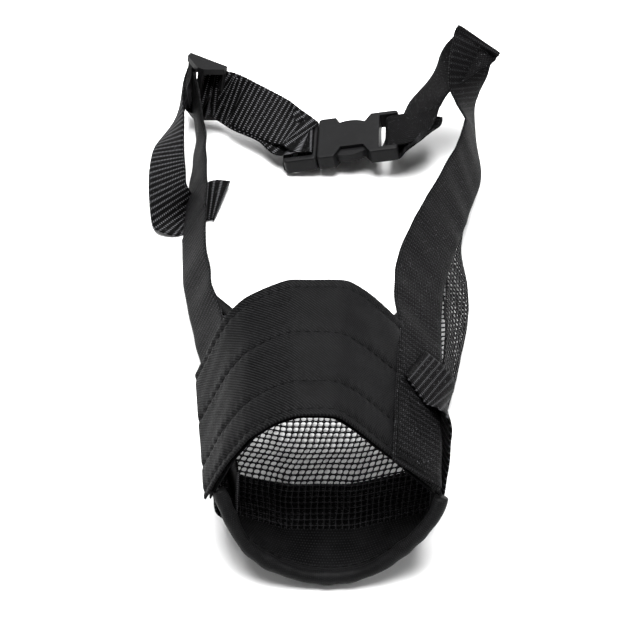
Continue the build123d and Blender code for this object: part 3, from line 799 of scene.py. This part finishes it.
chin_line = [(-41.9, 0.0, 33.0), (-41.6, 0.0, 24.0), (-41.0, 0.0, 14.5), (-36.0, 0.0, 9.0),
             (-24.0, 0.0, 3.6), (-14.0, 0.0, 1.0), (0.0, 0.0, 0.7), (14.0, 0.0, 1.0), (28.0, 0.5, 5.2),
             (41.0, 2.0, 9.6), (47.0, 5.0, 14.5), (49.2, 9.0, 24.0), (50.0, 14.0, 34.0),
             (50.6, 18.5, 41.5), (48.6, 23.0, 46.6), (44.6, 26.5, 50.4), (38.3, 31.5, 55.4)]
chin_across = [(0.0, -1.0, 0.0)] * 9
chin_across += [(0.02, -1.0, 0.05), (0.1, -1.0, 0.18), (0.1, -0.95, 0.3), (0.1, -0.95, 0.3),
                (0.0, -0.95, 0.25), (-0.25, -0.92, 0.1), (-0.4, -0.9, 0.25), (-0.3, -0.9, 0.3)]
strap("chin_strap_webbing", zip(chin_line, chin_across), "chin_strap", "muzzle", ribs=(0.45, 0.45),
      seed=61, wander=0.12)

# ---------------------------------------------------------------- directions of buckle and slider
buckle_centre = np.array([11.3, 220.6, 10.5])
buckle_yaw, buckle_rise, buckle_roll = (math.radians(turn) for turn in (-2.7, 11.0, 3.0))
yawed_x = np.array([math.cos(buckle_yaw), math.sin(buckle_yaw), 0.0])
yawed_y = np.array([-math.sin(buckle_yaw), math.cos(buckle_yaw), 0.0])


def raised_and_rolled(vector):
    """Vector turned by the buckle's rise towards its right end and then by its roll."""
    x, y, z = vector
    near, up = math.cos(buckle_rise), math.sin(buckle_rise)
    x, z = x * near - z * up, x * up + z * near
    near, up = math.cos(buckle_roll), math.sin(buckle_roll)
    return np.array([x, y * near + z * up, z * near - y * up])


buckle_x, buckle_y = raised_and_rolled(yawed_x), raised_and_rolled(yawed_y)
buckle_z = np.cross(buckle_x, buckle_y)
slider_centre = np.array([-60.5, 248.0, 22.0])
slider_run = unit(np.array([0.905, -0.412, -0.106]))
slider_up = np.array([0.25, 0.0, 0.97])
slider_up = unit(slider_up - slider_run * (slider_up @ slider_run))
slider_forward = np.cross(slider_run, slider_up)


def buckle_point(along, across, up):
    """Point given in the buckle's own directions."""
    return buckle_centre + buckle_x * along + buckle_y * across + buckle_z * up


def slider_point(along, up, forward):
    """Point given in the slider's own directions."""
    return slider_centre + slider_run * along + slider_up * up + slider_forward * forward


bar_loop_radius = 2.95
layer_rise = 0.85  # half the distance between two layers of webbing lying together


def loop_points(sign, bend_x, bar_end_x, closed_x, closed_up, under_shift=0.0):
    """Strap centre round a buckle bar: in above the bar, round it, and out below."""
    radius = bar_loop_radius
    points = [(closed_x, closed_up + layer_rise), (bar_end_x, radius + 0.1), (bend_x, radius)]
    for turn in (45, 90, 135):
        angle = math.radians(turn)
        points.append((bend_x - sign * math.sin(angle) * radius, math.cos(angle) * radius))
    points += [(bend_x, -radius), (bar_end_x, -radius), (closed_x, closed_up - layer_rise)]
    half = len(points) // 2
    return [buckle_point(x, under_shift * max(index - half, 0) / half, up)
            for index, (x, up) in enumerate(points)]


# ---------------------------------------------------------------- right webbing
rising = [((36.7, -20.8, 51.6), (18.5, 0.0, -16.9)), ((38.7, 12.0, 52.0), (18.3, 0.0, -17.0)),
          ((40.8, 46.0, 51.7), (18.2, 0.0, -17.1)), ((41.2, 72.0, 48.5), (20.0, -1.0, -15.0)),
          ((44.3, 97.0, 42.5), (20.5, -2.0, -14.5)), ((51.2, 124.0, 35.5), (19.0, -4.0, -16.0)),
          ((66.0, 172.0, 23.5), (13.5, -7.0, -20.0)), ((74.8, 203.0, 18.0), (11.0, -3.0, -22.0)),
          ((75.6, 221.0, 20.0), (6.5, 16.5, -17.6)), ((73.4, 231.0, 30.0), (13.0, 12.0, -17.0)),
          ((74.0, 238.0, 41.0), (20.0, 8.0, -12.0))]
fold_centre, fold_across = np.array([79.0, 248.5, 52.5]), unit(np.array([19.3, -7.0, -11.0]))
descending = [((71.0, 245.5, 43.5), (10.0, -17.0, -3.0)), ((63.5, 241.5, 35.0), (2.5, -13.0, 1.5)),
              ((53.0, 232.0, 25.5), (1.0, -13.0, 1.0))]
into_fold = unit(fold_centre - np.array(rising[-1][0]))
out_of_fold = unit(np.array(descending[0][0]) - fold_centre)
fold_tip = unit(into_fold - out_of_fold)
fold_side = into_fold + out_of_fold
fold_side = unit(fold_side - fold_tip * (fold_side @ fold_tip) - fold_across * (fold_side @ fold_across))
fold = [(fold_centre + fold_tip * along + fold_side * aside, fold_across)
        for along, aside in ((-2.2, -1.0), (0.0, -0.75), (0.6, 0.0), (0.0, 0.75), (-2.2, 1.0))]
right_loop = loop_points(1, 25.6, 29.0, 35.0, 2.6, under_shift=-3.0)
right_end = [(point, -buckle_y) for point in right_loop] + [((51.0, 227.5, 21.0), (1.0, -13.0, 1.0))]
right_stations = rising + fold + descending + right_end
strap("right_strap_webbing", right_stations, "right_webbing", "muzzle", ribs=(1.0, 0.15), seed=71,
      ribbed_run=(130.0, 215.0), wander=0.25, flare=0.03)

# ---------------------------------------------------------------- left webbing
left_side = [((-32.0, -18.0, 35.5), (-1.0, 0.0, -25.0)), ((-38.0, 15.0, 33.0), (-5.0, 0.0, -24.0)),
             ((-43.5, 50.0, 30.0), (-9.0, -4.0, -22.0)), ((-47.4, 73.0, 25.5), (-10.5, -4.0, -22.0)),
             ((-52.8, 97.0, 22.2), (-10.5, -2.0, -22.0)), ((-57.5, 124.0, 21.0), (-11.5, 0.0, -22.0)),
             ((-59.0, 150.0, 20.6), (-12.0, 0.0, -21.5))]
left_main = [((-59.0, 150.0, 20.6), (-12.0, 0.0, -21.5)), ((-59.6, 190.0, 19.8), (-9.5, 0.0, -23.0)),
             ((-60.3, 212.0, 20.2), (-6.0, 0.0, -24.0)), ((-62.0, 232.0, 21.0), (-3.0, 0.0, -25.0)),
             (slider_point(-4.2, 0.0, 3.4), -slider_up)]
side_strap = strap("left_side_strap", left_side, "left_side_webbing", ribs=(0.3, 0.9), seed=81)
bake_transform(side_strap)
main_strap = strap("left_main_strap", left_main, "left_main_webbing", ribs=(0.3, 0.9), seed=82)
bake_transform(main_strap)

tail = [(slider_point(-7.4, 0.0, 3.4), -slider_up), ((-70.0, 236.0, 23.0), (-3.5, 1.0, -25.0)),
        ((-72.6, 218.0, 24.0), (-11.0, 8.0, -20.0)), ((-74.8, 198.7, 22.0), (-17.5, 12.4, -14.0)),
        ((-74.4, 184.0, 18.5), (-20.4, 6.4, -15.0)), ((-73.4, 175.5, 13.0), (-18.0, 1.0, -14.5)),
        ((-71.2, 171.8, 7.6), (-17.0, -7.0, -10.0)), ((-67.6, 171.2, 3.6), (-17.0, -18.0, -2.0)),
        ((-64.6, 172.6, 1.7), (-11.5, -22.5, -0.8)), ((-61.8, 176.5, 1.6), (-5.0, -25.0, -1.5)),
        ((-58.6, 182.0, 2.2), (-1.0, -25.5, -2.6)), ((-55.4, 185.0, 2.6), (-0.5, -26.0, -3.3)),
        ((-51.8, 185.8, 2.8), (-3.0, -26.0, -3.5)), ((-48.4, 185.4, 2.2), (-6.7, -25.0, -2.2))][::-1]
tail_piece = strap("strap_tail", tail, "webbing_tail", seed=83, wander=0.15, flare=0.12, square=False)
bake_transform(tail_piece)

neck_layer = 0.82
neck_up = [(slider_point(-5.0, 0.0, neck_layer), slider_up),
           (slider_point(6.0, 0.0, neck_layer), slider_up),
           ((-50.0, 246.5, 20.2), (4.0, 7.0, 20.0)), ((-38.4, 239.8, 18.6), (8.8, 16.5, 16.3)),
           ((-21.5, 229.9, 16.2), (11.5, 18.5, 10.0)), ((-12.0, 225.6, 13.6), (6.0, 23.0, 3.0))]
neck_back = [((-22.0, 228.9, 14.2), (11.5, 18.5, 10.0)), ((-38.9, 239.0, 17.2), (8.8, 16.5, 16.3)),
             ((-50.8, 245.6, 19.6), (4.0, 7.0, 20.0)),
             (slider_point(6.0, 0.9, -neck_layer), slider_up),
             (slider_point(-5.0, 0.9, -neck_layer), slider_up)]
over_base = [buckle_point(-17.2, 0, 5.2), buckle_point(-14.7, 0, 4.6), buckle_point(-14.4, 0, 2.4)]
neck_loop = [(point, buckle_y) for point in over_base + loop_points(-1, -18.0, -21.6, -25.0, 4.0)[4:]]
neck_strap = strap("left_neck_strap", neck_up + neck_loop + neck_back, "left_neck_webbing", seed=84,
                   wander=0.1)
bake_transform(neck_strap)

# ---------------------------------------------------------------- tacks and box stitches on the right webbing
tack_centre, tack_across, tack_normal, tack_distance = framed(right_stations)
face_sign = 1.0 if tack_normal[10, 2] > 0 else -1.0


def on_webbing(distance, across, lift=0.8):
    """Points on the right webbing's outer face at distances along and across it."""
    distance, across = np.broadcast_arrays(np.asarray(distance, float), np.asarray(across, float))
    rows = np.concatenate([tack_centre, tack_across, tack_normal], axis=1)
    found = np.stack([np.interp(distance, tack_distance, rows[:, axis]) for axis in range(9)], axis=1)
    outward = found[:, 6:] * face_sign
    return found[:, :3] + found[:, 3:6] * across[:, None] + outward * lift, outward


def zigzag(start, end, low, high, pitch):
    """Dense zigzag of a bartack between two distances across the webbing."""
    turns = int((high - low) / pitch)
    across = np.linspace(low, high, turns + 1)
    along = np.where(np.arange(turns + 1) % 2 == 0, start, end)
    bends = np.stack([along, across], axis=1)
    path = np.concatenate([np.linspace(bends[i], bends[i + 1], 6, endpoint=False) for i in range(turns)])
    points, normals = on_webbing(path[:, 0], path[:, 1], 0.85)
    rise = 0.1 * np.sin(np.arange(len(path)) * math.pi / 3)
    return tube(points + normals * rise[:, None], 0.22, 6, up=normals)


def stitch_line(start, end, seed, length=2.4, samples=60, side=1, offset=0.0):
    """Straight row of stitches between two places on the right webbing; side -1 is its inner face."""
    share = np.linspace(0, 1, samples)[:, None]
    path = np.array(start) * (1 - share) + np.array(end) * share
    return stitches(*on_webbing(offset + path[:, 0], path[:, 1], side * 0.78), length=length, gap=0.5,
                    radius=0.24, seed=seed)


tacks = [zigzag(1.6, 4.2, -11.0, 11.0, 0.75), zigzag(5.2, 6.8, -11.0, 5.0, 0.9)]
tacks += stitch_line((34.0, -6.0), (4.5, 8.5), 91)
tacks += stitch_line((34.0, -11.3), (3.0, -11.3), 92)
tacks += stitch_line((40.0, -11.0), (34.0, 11.0), 93)
piece("right_strap_tacks", tacks, [thread], "muzzle", ["right_webbing_tacks"])

# The box stitch is on the upper layer, so the lower layer's last 25 mm are left out of the search.
box_centre = np.array([52.5, 230.2, 22.8])
upper_layer = tack_distance <= tack_distance[-1] - 25.0
box_place = np.argmin(np.linalg.norm(tack_centre - box_centre, axis=1)[upper_layer])
box_ends = [(-3.5, -9.0), (-3.5, 9.0), (3.5, 9.0), (3.5, -9.0), (-3.5, -9.0), (3.5, 9.0)]
box_parts = []
for number, (first, second) in enumerate(zip(box_ends, box_ends[1:])):
    box_parts += stitch_line(first, second, 100 + number, 2.2, 40, -1, tack_distance[box_place])
piece("neck_loop_box_stitch", box_parts, [thread], "muzzle", ["neck_loop_stitching"])

# ---------------------------------------------------------------- moulded parts keep their CAD shape
for node in ("buckle_housing", "buckle_plug", "latch_arm_front", "latch_arm_rear", "strap_slider"):
    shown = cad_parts[node]
    shown.data.materials.clear()
    shown.data.materials.append(plastic)

# ---------------------------------------------------------------- table, light and camera
table_mesh = bpy.data.meshes.new("table")
reach = 3.0
table_mesh.from_pydata([(-reach, -reach, 0), (reach, -reach, 0), (reach, reach, 0), (-reach, reach, 0)], [],
                       [(0, 1, 2, 3)])
table_mesh.materials.append(floor_look())
table = bpy.data.objects.new("table", table_mesh)
bpy.context.scene.collection.objects.link(table)

target = np.array([0.0, 0.0415, 0.070])


def soft_light(name, azimuth, elevation, distance, size, power, height=None):
    """Rectangular soft light aimed at the muzzle."""
    data = bpy.data.lights.new(name, "AREA")
    data.shape = "RECTANGLE"
    data.size, data.size_y = size, height or size
    data.energy = power
    lamp = bpy.data.objects.new(name, data)
    turn, rise = math.radians(azimuth), math.radians(elevation)
    toward = np.array([math.sin(turn) * math.cos(rise), math.cos(turn) * math.cos(rise), math.sin(rise)])
    lamp.location = target + distance * toward
    lamp.rotation_euler = (Vector(target.tolist()) - lamp.location).to_track_quat("-Z", "Y").to_euler()
    bpy.context.scene.collection.objects.link(lamp)


soft_light("overhead", 0, 86, 1.6, 1.0, 75)
soft_light("back_left", -25, 50, 1.4, 0.9, 8)
soft_light("back_strip", 0, 47, 1.3, 0.5, 8, 0.7)
soft_light("left_side", -95, 28, 1.3, 0.9, 4)
soft_light("right_side", 95, 28, 1.3, 0.9, 6)
world = bpy.data.worlds.new("studio")
bpy.context.scene.world = world
world.use_nodes = True
world.node_tree.nodes["Background"].inputs[0].default_value = (1.0, 1.0, 1.0, 1.0)
world.node_tree.nodes["Background"].inputs[1].default_value = 0.15
bpy.context.scene.view_settings.view_transform = "Standard"

camera_data = bpy.data.cameras.new("camera")
camera_data.lens = 85
camera_data.sensor_width = 36
camera = bpy.data.objects.new("camera", camera_data)
rise = math.radians(47)
camera.location = target + 0.6 * np.array([0.0, -math.cos(rise), math.sin(rise)])
camera.rotation_euler = (math.pi / 2 - rise, 0, 0)
bpy.context.scene.collection.objects.link(camera)
bpy.context.scene.camera = camera
